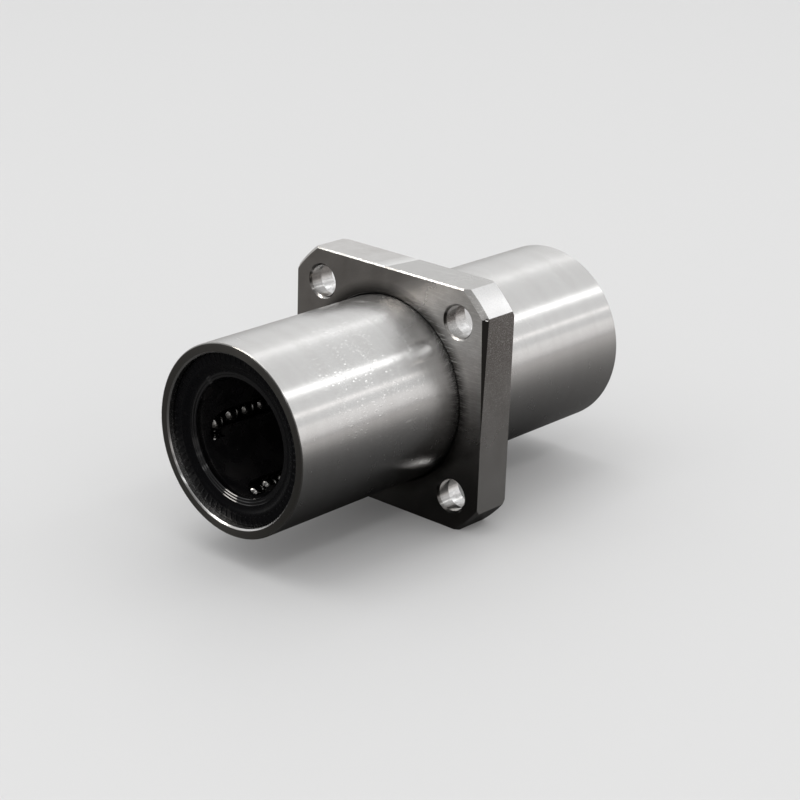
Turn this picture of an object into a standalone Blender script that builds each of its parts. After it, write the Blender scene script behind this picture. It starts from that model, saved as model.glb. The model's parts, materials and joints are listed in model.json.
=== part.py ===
"""Linear ball bushing, double length, with a square mounting flange round its middle.

Frame: the bore axis is X, Z is up, and the origin is on the bore axis in the flange's
middle plane.  The flange's sides are horizontal and vertical.

Inside the outer cylinder sit two ball retainers, end to end.  Each guides five endless
trains of balls.  A train's path is a flat racetrack: a loaded row beside the bore, a
return row further out, and a half turn at each end.  Each train is four solids of beads,
one for each row and turn, so that they can follow the path on slides and hinges.
"""

import math

import bmesh
import bpy
from mathutils import Matrix, Vector

# Driving dimensions, in millimetres unless the name says otherwise.
MM = 0.001
SHAFT_RADIUS = 10.0
BALL_RADIUS = 1.5875
BODY_RADIUS = 16.0
BODY_LENGTH = 80.0
SEAT_RADIUS = 14.3
LAND_RADIUS = 13.25

FLANGE_SIDE = 42.0
FLANGE_CORNER_RADIUS = 27.0
FLANGE_THICKNESS = 7.25
BOLT_CIRCLE_RADIUS = 21.5
BOLT_HOLE_RADIUS = 2.75
BOLT_HOLE_DEPTH = 2.6
COUNTERBORE_RADIUS = 4.75
MOUTH_CHAMFER = 0.75

CIRCUITS = 5
CIRCUIT_PITCH_DEG = 72.0
FIRST_ROW_DEG = -6.5
ROW_BALLS = 7
TURN_RADIUS = 2.28
LOAD_ROW_RADIUS = SHAFT_RADIUS + BALL_RADIUS
RETURN_ROW_RADIUS = 12.6

RETAINER_INNER_RADIUS = 10.4
RETAINER_OUTER_RADIUS = 14.15
RETAINER_START = 0.4
RETAINER_END = 36.4
RING_START = 36.5
RING_END = 37.3
RING_INNER_RADIUS = 12.9
RING_OUTER_RADIUS = 14.8
RING_GAP_DEG = 40.0
GROOVE_RADIUS = 14.9
GROOVE_PLAY = 0.05
SEAL_BACK = 37.4
SEAL_FRONT = 38.8
SEAL_RADIUS = 14.2
LIP_RADIUS = 9.9

# Two balls fill each half turn, so one ball pitch is half of the half turn's length.
BALL_PITCH = math.pi * TURN_RADIUS / 2
ROW_LENGTH = ROW_BALLS * BALL_PITCH
CAGE_CENTRE = (RETAINER_START + RETAINER_END) / 2

# The racetrack's plane holds both rows.  In it, the rows are one turn diameter apart.
ROW_SPACING = 2 * TURN_RADIUS
LOAD_ROW_Y = (RETURN_ROW_RADIUS**2 - LOAD_ROW_RADIUS**2 - ROW_SPACING**2) / (2 * ROW_SPACING)
PLANE_HEIGHT = math.sqrt(LOAD_ROW_RADIUS**2 - LOAD_ROW_Y**2)
PLANE_TILT = math.atan2(LOAD_ROW_Y, PLANE_HEIGHT)

BODY_SEGMENTS = 60
BEAD_SIDES = 6
SIDES = {"left": -1, "right": 1}


def clear_scene():
    for obj in list(bpy.data.objects):
        bpy.data.objects.remove(obj, do_unlink=True)


def make_material(name, colour, roughness, metallic):
    material = bpy.data.materials.new(name)
    material.use_nodes = True
    shader = material.node_tree.nodes["Principled BSDF"]
    shader.inputs["Base Color"].default_value = (*colour, 1.0)
    shader.inputs["Roughness"].default_value = roughness
    shader.inputs["Metallic"].default_value = metallic
    material.diffuse_color = (*colour, 1.0)
    return material


def mesh_from_rings(name, rings, closed=False):
    """A skin over rings of equally many points, capped at both ends or closed into a loop."""
    builder = bmesh.new()
    loops = [[builder.verts.new(Vector(point) * MM) for point in ring] for ring in rings]
    pairs = list(zip(loops, loops[1:]))
    if closed:
        pairs.append((loops[-1], loops[0]))
    else:
        builder.faces.new(loops[0])
        builder.faces.new(loops[-1])
    for first, second in pairs:
        count = len(first)
        for i in range(count):
            j = (i + 1) % count
            builder.faces.new((first[i], first[j], second[j], second[i]))
    bmesh.ops.recalc_face_normals(builder, faces=builder.faces)
    mesh = bpy.data.meshes.new(name)
    builder.to_mesh(mesh)
    builder.free()
    return mesh


def add_object(name, mesh, material=None):
    obj = bpy.data.objects.new(name, mesh)
    bpy.context.scene.collection.objects.link(obj)
    if material and not mesh.materials:
        mesh.materials.append(material)
    return obj


def shade(mesh, sharp_deg=30.0):
    mesh.shade_smooth()
    mesh.set_sharp_from_angle(angle=math.radians(sharp_deg))


def polar(x, radius, angle_deg):
    """A point at x along the bore, at an angle from +Y towards +Z."""
    angle = math.radians(angle_deg)
    return (x, radius * math.cos(angle), radius * math.sin(angle))


def turned_mesh(name, profile, segments=BODY_SEGMENTS, start_deg=0.0, sweep_deg=360.0):
    """A closed profile of (x, radius) points turned about the bore axis."""
    whole = sweep_deg == 360.0
    stations = segments if whole else segments + 1
    rings = [
        [polar(x, radius, start_deg + sweep_deg * i / segments) for x, radius in profile]
        for i in range(stations)
    ]
    return mesh_from_rings(name, rings, closed=whole)


def cutter_from(mesh):
    cutter = add_object(mesh.name, mesh)
    cutter.hide_render = True
    cutter.display_type = "WIRE"
    return cutter


def boolean(obj, other, operation):
    modifier = obj.modifiers.new(other.name, "BOOLEAN")
    modifier.operation = operation
    modifier.solver = "EXACT"
    modifier.object = other


def apply_modifiers(obj):
    """Replaces the object's mesh with its evaluated one, and shades it."""
    graph = bpy.context.evaluated_depsgraph_get()
    result = bpy.data.meshes.new_from_object(obj.evaluated_get(graph))
    obj.modifiers.clear()
    obj.data = result
    shade(result)


def mirrored_profile(half):
    """A profile that is the same on both sides of x = 0, from its half at +x."""
    return half + [(-x, radius) for x, radius in reversed(half)]


def sector_mesh(name, x_range, radii, centre_deg, half_width_deg, steps=4):
    """A block between two radii and two angles, along part of the bore."""
    low, high = x_range
    inner, outer = radii
    rings = []
    for i in range(steps + 1):
        angle = centre_deg + half_width_deg * (2 * i / steps - 1)
        corners = ((low, inner), (high, inner), (high, outer), (low, outer))
        rings.append([polar(x, radius, angle) for x, radius in corners])
    return mesh_from_rings(name, rings)


def load_row_angle(circuit):
    return FIRST_ROW_DEG + CIRCUIT_PITCH_DEG * circuit


# ---------------------------------------------------------------- outer cylinder

LAND_HALF_WIDTH_DEG = 9.0
LAND_RUN_OUT = 0.3
LAND_ROOT_RADIUS = 15.0


def land_range(side):
    """The stretch along the bore that a cage's raceway lands cover."""
    half = ROW_LENGTH / 2 + LAND_RUN_OUT
    centre = SIDES[side] * CAGE_CENTRE
    return centre - half, centre + half


def make_outer_cylinder(material):
    end = BODY_LENGTH / 2
    outer_chamfer = 0.4
    inner_chamfer = 0.25
    groove_outer = RING_END + GROOVE_PLAY
    groove_inner = RING_START - GROOVE_PLAY
    half = [
        (end - outer_chamfer, BODY_RADIUS),
        (end, BODY_RADIUS - outer_chamfer),
        (end, SEAT_RADIUS + inner_chamfer),
        (end - inner_chamfer, SEAT_RADIUS),
        (groove_outer, SEAT_RADIUS),
        (groove_outer, GROOVE_RADIUS),
        (groove_inner, GROOVE_RADIUS),
        (groove_inner, SEAT_RADIUS),
    ]
    tube = turned_mesh("outer_cylinder", mirrored_profile(half))
    body = add_object("outer_cylinder", tube, material)
    for side in SIDES:
        for circuit in range(CIRCUITS):
            radii = (LAND_RADIUS, LAND_ROOT_RADIUS)
            angle = load_row_angle(circuit)
            name = f"raceway_land_{side}_{circuit + 1}"
            land = sector_mesh(name, land_range(side), radii, angle, LAND_HALF_WIDTH_DEG)
            boolean(body, cutter_from(land), "UNION")
    apply_modifiers(body)


# ---------------------------------------------------------------- square flange

FLANGE_BORE_RADIUS = BODY_RADIUS + 0.05
FLANGE_FRONT_CHAMFER = 1.0
FLANGE_BACK_CHAMFER = 0.5
HOLE_SEGMENTS = 24


def bolt_hole_mesh(name, centre):
    """A through hole with a chamfered front mouth, and a counterbore from the back."""
    front = -FLANGE_THICKNESS / 2
    floor = front + BOLT_HOLE_DEPTH
    back = FLANGE_THICKNESS / 2
    beyond = 1.0
    stations = (
        (front - beyond, BOLT_HOLE_RADIUS + MOUTH_CHAMFER + beyond),
        (front + MOUTH_CHAMFER, BOLT_HOLE_RADIUS),
        (floor, BOLT_HOLE_RADIUS),
        (floor, COUNTERBORE_RADIUS),
        (back + beyond, COUNTERBORE_RADIUS),
    )
    rings = []
    for x, radius in stations:
        ring = [polar(x, radius, 360.0 * i / HOLE_SEGMENTS) for i in range(HOLE_SEGMENTS)]
        rings.append([(px, py + centre[0], pz + centre[1]) for px, py, pz in ring])
    return mesh_from_rings(name, rings)


def make_square_flange(material):
    """A turned disc with chamfered rims, milled square, bored and drilled."""
    half = FLANGE_THICKNESS / 2
    rim = FLANGE_CORNER_RADIUS
    bore_chamfer = 0.35
    disc = [
        (-half, rim - FLANGE_FRONT_CHAMFER),
        (-half, FLANGE_BORE_RADIUS + bore_chamfer),
        (-half + bore_chamfer, FLANGE_BORE_RADIUS),
        (half - bore_chamfer, FLANGE_BORE_RADIUS),
        (half, FLANGE_BORE_RADIUS + bore_chamfer),
        (half, rim - FLANGE_BACK_CHAMFER),
        (half - FLANGE_BACK_CHAMFER, rim),
        (-half + FLANGE_FRONT_CHAMFER, rim),
    ]
    flange = add_object("square_flange", turned_mesh("square_flange", disc), material)
    # The square's corners are all that is left of the disc's rim.
    side = FLANGE_SIDE / 2
    square = [
        [(x, y, z) for y, z in ((side, side), (-side, side), (-side, -side), (side, -side))]
        for x in (-FLANGE_THICKNESS, FLANGE_THICKNESS)
    ]
    boolean(flange, cutter_from(mesh_from_rings("flange_square", square)), "INTERSECT")
    offset = BOLT_CIRCLE_RADIUS / math.sqrt(2)
    for number, (y, z) in enumerate(((1, 1), (-1, 1), (-1, -1), (1, -1)), start=1):
        hole = bolt_hole_mesh(f"bolt_hole_{number}", (y * offset, z * offset))
        boolean(flange, cutter_from(hole), "DIFFERENCE")
    apply_modifiers(flange)


# ---------------------------------------------------------------- ball retainers

GUIDE_HALF_WIDTH = 1.75
WINDOW_HALF_WIDTH = 1.45
WINDOW_STEP = -0.84
GUIDE_FLOOR = -1.69
GUIDE_TOP = 4.0
TURN_STEPS = 6
NOTCH_CLEARANCE = 0.3
NOTCH_RADIUS = 13.05


def racetrack_stations():
    """(x, y, direction) round a racetrack centred on 0, with the direction facing outwards."""
    stations = []
    for end in (1, -1):
        for i in range(TURN_STEPS + 1):
            angle = math.pi * (i / TURN_STEPS - 0.5) + (0 if end == 1 else math.pi)
            out = (math.cos(angle), math.sin(angle))
            x = end * ROW_LENGTH / 2 + TURN_RADIUS * out[0]
            stations.append((x, TURN_RADIUS * out[1], out))
    return stations


def guide_mesh(name):
    """The stepped channel that a train of balls runs in: narrower where it opens to the bore."""
    section = (
        (-WINDOW_HALF_WIDTH, GUIDE_FLOOR),
        (WINDOW_HALF_WIDTH, GUIDE_FLOOR),
        (WINDOW_HALF_WIDTH, WINDOW_STEP),
        (GUIDE_HALF_WIDTH, WINDOW_STEP),
        (GUIDE_HALF_WIDTH, GUIDE_TOP),
        (-GUIDE_HALF_WIDTH, GUIDE_TOP),
        (-GUIDE_HALF_WIDTH, WINDOW_STEP),
        (-WINDOW_HALF_WIDTH, WINDOW_STEP),
    )
    rings = []
    for x, y, out in racetrack_stations():
        rings.append([(x + out[0] * across, y + out[1] * across, up) for across, up in section])
    return mesh_from_rings(name, rings, closed=True)


def circuit_matrix(side, circuit):
    """The racetrack's own frame: X along the bore, Z out of its plane, origin at its centre."""
    turn = load_row_angle(circuit) + math.degrees(PLANE_TILT) - 90.0
    centre = Vector((SIDES[side] * CAGE_CENTRE, LOAD_ROW_Y + TURN_RADIUS, PLANE_HEIGHT)) * MM
    return Matrix.Rotation(math.radians(turn), 4, "X") @ Matrix.Translation(centre)


def make_ball_retainer(side, material):
    bore_chamfer = 0.4
    sign = SIDES[side]
    low, high = sorted((sign * RETAINER_START, sign * RETAINER_END))
    profile = [
        (low, RETAINER_OUTER_RADIUS),
        (high, RETAINER_OUTER_RADIUS),
        (high, RETAINER_INNER_RADIUS + bore_chamfer),
        (high - bore_chamfer, RETAINER_INNER_RADIUS),
        (low + bore_chamfer, RETAINER_INNER_RADIUS),
        (low, RETAINER_INNER_RADIUS + bore_chamfer),
    ]
    name = f"ball_retainer_{side}"
    retainer = add_object(name, turned_mesh(name, profile), material)
    first, last = land_range(side)
    notch_range = (first - NOTCH_CLEARANCE, last + NOTCH_CLEARANCE)
    notch_width = LAND_HALF_WIDTH_DEG + math.degrees(NOTCH_CLEARANCE / LAND_RADIUS)
    for circuit in range(CIRCUITS):
        guide = cutter_from(guide_mesh(f"ball_guide_{side}_{circuit + 1}"))
        guide.matrix_world = circuit_matrix(side, circuit)
        boolean(retainer, guide, "DIFFERENCE")
        radii = (NOTCH_RADIUS, LAND_ROOT_RADIUS)
        angle = load_row_angle(circuit)
        notch = sector_mesh(f"land_notch_{side}_{circuit + 1}", notch_range, radii, angle, notch_width)
        boolean(retainer, cutter_from(notch), "DIFFERENCE")
    bpy.context.view_layer.update()
    apply_modifiers(retainer)


# ---------------------------------------------------------------- end rings and seals


RING_SEGMENTS = 48
SEAL_FACE_RADIUS = 12.3
SEAL_RIM_CHAMFER = 0.2


def on_side(side, profile):
    return [(SIDES[side] * x, radius) for x, radius in profile]


def make_end_ring(side, material):
    """An open spring ring in the cylinder's groove, with its gap at the bottom."""
    profile = [
        (RING_START, RING_INNER_RADIUS),
        (RING_END, RING_INNER_RADIUS),
        (RING_END, RING_OUTER_RADIUS),
        (RING_START, RING_OUTER_RADIUS),
    ]
    start = -90.0 + RING_GAP_DEG / 2
    name = f"end_ring_{side}"
    mesh = turned_mesh(name, on_side(side, profile), RING_SEGMENTS, start, 360.0 - RING_GAP_DEG)
    shade(mesh)
    add_object(name, mesh, material)


def make_end_seal(side, material):
    """A moulded ring with a flat outer face, a sloping funnel and a thin lip on the shaft."""
    profile = [
        (SEAL_BACK, SEAL_RADIUS),
        (SEAL_FRONT - SEAL_RIM_CHAMFER, SEAL_RADIUS),
        (SEAL_FRONT, SEAL_RADIUS - SEAL_RIM_CHAMFER),
        (SEAL_FRONT, SEAL_FACE_RADIUS),
        (SEAL_FRONT - 0.45, SEAL_FACE_RADIUS - 0.5),
        (SEAL_FRONT - 0.75, LIP_RADIUS + 0.1),
        (SEAL_FRONT - 0.95, LIP_RADIUS),
        (SEAL_BACK + 0.15, LIP_RADIUS + 0.25),
        (SEAL_BACK, LIP_RADIUS + 0.6),
    ]
    name = f"end_seal_{side}"
    mesh = turned_mesh(name, on_side(side, profile))
    shade(mesh)
    add_object(name, mesh, material)


# ---------------------------------------------------------------- ball trains

BEAD_SHOULDER = 0.35
BEAD_END = 1.5
NECK_RADIUS = 0.35
TURN_SLICES_DEG = (-43.0, -10.0, 10.0, 43.0)
FIRST_TURN_BALL_DEG = 45.0


def slice_radius(offset):
    """The radius of a ball's slice at this distance from its centre."""
    return math.sqrt(BALL_RADIUS**2 - offset**2)


def row_mesh():
    """A straight string of beads along X, centred on 0, its balls joined by thin necks."""
    stations = []
    for ball in range(ROW_BALLS):
        centre = (ball - (ROW_BALLS - 1) / 2) * BALL_PITCH
        first, last = ball == 0, ball == ROW_BALLS - 1
        if first:
            stations.append((centre - BEAD_END, slice_radius(BEAD_END)))
        stations.append((centre - BEAD_SHOULDER, slice_radius(BEAD_SHOULDER)))
        stations.append((centre + BEAD_SHOULDER, slice_radius(BEAD_SHOULDER)))
        if last:
            stations.append((centre + BEAD_END, slice_radius(BEAD_END)))
        else:
            stations.append((centre + BALL_PITCH / 2, NECK_RADIUS))
    rings = []
    for x, radius in stations:
        rings.append([polar(x, radius, 360.0 * (i + 0.5) / BEAD_SIDES) for i in range(BEAD_SIDES)])
    mesh = mesh_from_rings("ball_row", rings)
    shade(mesh, 60.0)
    return mesh


def turn_mesh():
    """Two beads on a quarter turn about the local Z axis, on the side of local +X."""
    rings = []
    for ball_deg in (-FIRST_TURN_BALL_DEG, FIRST_TURN_BALL_DEG):
        for slice_deg in TURN_SLICES_DEG:
            lean = math.radians(slice_deg)
            radius = slice_radius(TURN_RADIUS * math.sin(lean))
            reach = TURN_RADIUS * math.cos(lean)
            angle = math.radians(ball_deg + slice_deg)
            ring = []
            for i in range(BEAD_SIDES):
                around = 2 * math.pi * (i + 0.5) / BEAD_SIDES
                out = reach + radius * math.cos(around)
                ring.append((out * math.cos(angle), out * math.sin(angle), radius * math.sin(around)))
            rings.append(ring)
    mesh = mesh_from_rings("ball_turn", rings)
    shade(mesh, 60.0)
    return mesh


def make_ball_trains(material):
    row = row_mesh()
    turn = turn_mesh()
    half_row = ROW_LENGTH / 2 * MM
    spread = TURN_RADIUS * MM
    for side in SIDES:
        for circuit in range(CIRCUITS):
            frame = bpy.data.objects.new(f"circuit_{side}_{circuit + 1}", None)
            bpy.context.scene.collection.objects.link(frame)
            frame.matrix_world = circuit_matrix(side, circuit)
            outward = SIDES[side]
            facing = 0.0 if outward == 1 else math.pi
            pieces = (
                ("load_row", row, (0, -spread, 0), 0.0),
                ("return_row", row, (0, spread, 0), 0.0),
                ("end_turn", turn, (outward * half_row, 0, 0), facing),
                ("middle_turn", turn, (-outward * half_row, 0, 0), facing + math.pi),
            )
            for kind, mesh, place, turned in pieces:
                beads = add_object(f"{side}_{kind}_{circuit + 1}", mesh, material)
                beads.parent = frame
                beads.location = place
                beads.rotation_euler.z = turned


def main():
    clear_scene()
    ground_steel = make_material("ground_steel", (0.62, 0.60, 0.58), 0.28, 1.0)
    milled_steel = make_material("milled_steel", (0.50, 0.50, 0.49), 0.38, 1.0)
    retainer_resin = make_material("retainer_resin", (0.012, 0.012, 0.013), 0.35, 0.0)
    seal_rubber = make_material("seal_rubber", (0.010, 0.010, 0.011), 0.45, 0.0)
    spring_steel = make_material("spring_steel", (0.30, 0.30, 0.31), 0.35, 1.0)
    ball_steel = make_material("ball_steel", (0.80, 0.80, 0.80), 0.08, 1.0)

    make_outer_cylinder(ground_steel)
    make_square_flange(milled_steel)
    for side in SIDES:
        make_ball_retainer(side, retainer_resin)
        make_end_ring(side, spring_steel)
        make_end_seal(side, seal_rubber)
    make_ball_trains(ball_steel)


main()
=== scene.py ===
"""Looks for the flanged linear ball bushing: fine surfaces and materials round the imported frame."""
import json
import math

import bmesh
import bpy
from mathutils import Matrix, Vector


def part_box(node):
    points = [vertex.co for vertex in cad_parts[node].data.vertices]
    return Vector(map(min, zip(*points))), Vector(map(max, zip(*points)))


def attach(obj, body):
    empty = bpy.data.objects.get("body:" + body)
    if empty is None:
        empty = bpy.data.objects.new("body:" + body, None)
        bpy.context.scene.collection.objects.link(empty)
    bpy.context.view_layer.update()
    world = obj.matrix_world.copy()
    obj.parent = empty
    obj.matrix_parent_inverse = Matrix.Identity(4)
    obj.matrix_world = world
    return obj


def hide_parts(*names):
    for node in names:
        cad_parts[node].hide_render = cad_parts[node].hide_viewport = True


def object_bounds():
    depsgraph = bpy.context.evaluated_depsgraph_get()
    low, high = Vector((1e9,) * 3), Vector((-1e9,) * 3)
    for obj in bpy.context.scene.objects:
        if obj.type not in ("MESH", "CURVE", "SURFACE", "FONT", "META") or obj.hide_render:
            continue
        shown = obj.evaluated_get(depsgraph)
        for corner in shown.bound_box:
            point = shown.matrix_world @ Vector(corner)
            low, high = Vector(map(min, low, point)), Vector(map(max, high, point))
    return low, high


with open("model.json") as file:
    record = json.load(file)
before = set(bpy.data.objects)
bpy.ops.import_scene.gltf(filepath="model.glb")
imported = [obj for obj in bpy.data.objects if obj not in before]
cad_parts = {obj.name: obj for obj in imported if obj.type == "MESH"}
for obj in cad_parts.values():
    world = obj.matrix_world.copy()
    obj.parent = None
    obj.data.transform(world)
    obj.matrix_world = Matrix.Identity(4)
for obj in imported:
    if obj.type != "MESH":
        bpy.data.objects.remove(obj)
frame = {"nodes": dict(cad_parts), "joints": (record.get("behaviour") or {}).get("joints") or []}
cad_low, cad_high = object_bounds()

MM = 0.001
ROOT = "bushing"
SIDES = {"left": -1, "right": 1}
CIRCUITS = 5


# ---------------------------------------------------------------- sizes read from the frame


def box_mm(node):
    """A node's lowest and highest corners, in millimetres."""
    low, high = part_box(node)
    return [value / MM for value in low], [value / MM for value in high]


def joint(name):
    """The frame's entry for a joint."""
    return next(j for j in frame["joints"] if j["name"] == name)


def along_bore(node):
    """(lowest, highest) place of a node along the bore."""
    low, high = box_mm(node)
    return low[0], high[0]


def half_width(node):
    """The radius, or half the side, of a node that is centred on the bore."""
    return box_mm(node)[1][1]


BODY_RADIUS = half_width("outer_cylinder")
BODY_END = along_bore("outer_cylinder")[1]
FLANGE_HALF = along_bore("square_flange")[1]
FLANGE_SIDE = half_width("square_flange")
RETAINER_START, RETAINER_END = along_bore("ball_retainer_right")
RETAINER_OUTER = half_width("ball_retainer_right")
SEAL_BACK, SEAL_FRONT = along_bore("end_seal_right")
SEAL_RADIUS = half_width("end_seal_right")
RING_START, RING_END = along_bore("end_ring_right")

# Sizes that a box can't give, in millimetres, as the CAD source has them.
BALL_RADIUS = 1.5875
SEAT_RADIUS = 14.3
LAND_RADIUS = 13.25
GROOVE_RADIUS = 14.9
GROOVE_PLAY = 0.05
RETAINER_INNER = 10.4
LIP_RADIUS = 9.9
CORNER_RADIUS = 27.0
FLANGE_BORE = BODY_RADIUS + 0.05
BOLT_OFFSET = 21.5 / math.sqrt(2)
BOLT_HOLE_RADIUS = 2.75
BOLT_HOLE_DEPTH = 2.6
COUNTERBORE_RADIUS = 4.75
ROW_BALLS = 7

# Steps round a full turn.
CYLINDER_STEPS = 240
RETAINER_STEPS = 160
HOLE_STEPS = 72


# ---------------------------------------------------------------- mesh tools


def polar(x, radius, angle_deg):
    """A point at a radius and an angle about the bore, from +Y towards +Z."""
    angle = math.radians(angle_deg)
    return (x, radius * math.cos(angle), radius * math.sin(angle))


def mesh_from_rings(name, rings, closed=False):
    """A skin over rings of equally many points, capped at both ends or closed into a loop."""
    builder = bmesh.new()
    loops = [[builder.verts.new(Vector(point) * MM) for point in ring] for ring in rings]
    pairs = list(zip(loops, loops[1:]))
    if closed:
        pairs.append((loops[-1], loops[0]))
    else:
        builder.faces.new(loops[0])
        builder.faces.new(loops[-1])
    for first, second in pairs:
        count = len(first)
        for i in range(count):
            j = (i + 1) % count
            builder.faces.new((first[i], first[j], second[j], second[i]))
    bmesh.ops.recalc_face_normals(builder, faces=builder.faces)
    mesh = bpy.data.meshes.new(name)
    builder.to_mesh(mesh)
    builder.free()
    return mesh


def circle(x, radius, steps, centre=(0.0, 0.0)):
    """A ring of points about an axis along the bore."""
    ring = [polar(x, radius, 360.0 * i / steps) for i in range(steps)]
    return [(px, py + centre[0], pz + centre[1]) for px, py, pz in ring]


def turned_mesh(name, profile, steps):
    """A profile in (x, radius), turned about the bore."""
    rings = [[polar(x, r, 360.0 * i / steps) for x, r in profile] for i in range(steps)]
    return mesh_from_rings(name, rings, closed=True)


def sector_mesh(name, x_range, radii, centre_deg, half_width_deg, steps=14):
    """A block that is curved about the bore."""
    low, high = x_range
    inner, outer = radii
    rings = []
    for i in range(steps + 1):
        angle = centre_deg + half_width_deg * (2 * i / steps - 1)
        corners = ((low, inner), (high, inner), (high, outer), (low, outer))
        rings.append([polar(x, radius, angle) for x, radius in corners])
    return mesh_from_rings(name, rings)


def add_object(name, mesh):
    obj = bpy.data.objects.new(name, mesh)
    bpy.context.scene.collection.objects.link(obj)
    return obj


def boolean(obj, mesh, operation, matrix=None):
    """Adds a boolean with a mesh; apply_modifiers carries it out."""
    other = add_object(mesh.name, mesh)
    if matrix is not None:
        other.matrix_world = matrix
    modifier = obj.modifiers.new(mesh.name, "BOOLEAN")
    modifier.operation = operation
    modifier.solver = "EXACT"
    modifier.object = other


def plane_cut(obj, point_mm, normal):
    """Takes away what lies beyond a plane, and closes the cut."""
    builder = bmesh.new()
    builder.from_mesh(obj.data)
    geometry = builder.verts[:] + builder.edges[:] + builder.faces[:]
    place = Vector(point_mm) * MM
    way = Vector(normal).normalized()
    result = bmesh.ops.bisect_plane(
        builder, geom=geometry, plane_co=place, plane_no=way, clear_outer=True, dist=1e-8
    )
    edges = [item for item in result["geom_cut"] if isinstance(item, bmesh.types.BMEdge)]
    bmesh.ops.edgeloop_fill(builder, edges=edges)
    bmesh.ops.recalc_face_normals(builder, faces=builder.faces)
    builder.to_mesh(obj.data)
    builder.free()


def bevel(obj, width_mm, angle_deg):
    """Breaks the edges that are sharper than an angle."""
    modifier = obj.modifiers.new("edge_break", "BEVEL")
    modifier.width = width_mm * MM
    modifier.segments = 2
    modifier.limit_method = "ANGLE"
    modifier.angle_limit = math.radians(angle_deg)
    modifier.use_clamp_overlap = True
    modifier.harden_normals = False


def apply_modifiers(obj):
    """Makes the evaluated mesh the object's own, and removes the cutters."""
    bpy.context.view_layer.update()
    graph = bpy.context.evaluated_depsgraph_get()
    result = bpy.data.meshes.new_from_object(obj.evaluated_get(graph))
    cutters = [m.object for m in obj.modifiers if m.type == "BOOLEAN"]
    obj.modifiers.clear()
    obj.data = result
    for cutter in cutters:
        bpy.data.objects.remove(cutter, do_unlink=True)


def shade(obj, sharp_deg):
    """Shades smooth, apart from edges sharper than an angle."""
    obj.data.shade_smooth()
    obj.data.set_sharp_from_angle(angle=math.radians(sharp_deg))


def keep_flats_flat(obj):
    """Weights the normals by face area, so that small bevels don't shade the flats beside them."""
    modifier = obj.modifiers.new("weighted_normals", "WEIGHTED_NORMAL")
    modifier.mode = "FACE_AREA"
    modifier.weight = 100
    modifier.keep_sharp = True
    apply_modifiers(obj)


def finish_piece(obj, material, slot, body, *nodes):
    """Gives a piece its material and its body, and hides the CAD nodes that it stands for."""
    obj.data.materials.clear()
    obj.data.materials.append(material)
    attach(obj, body)
    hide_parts(*nodes)


# ---------------------------------------------------------------- material tools


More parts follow.
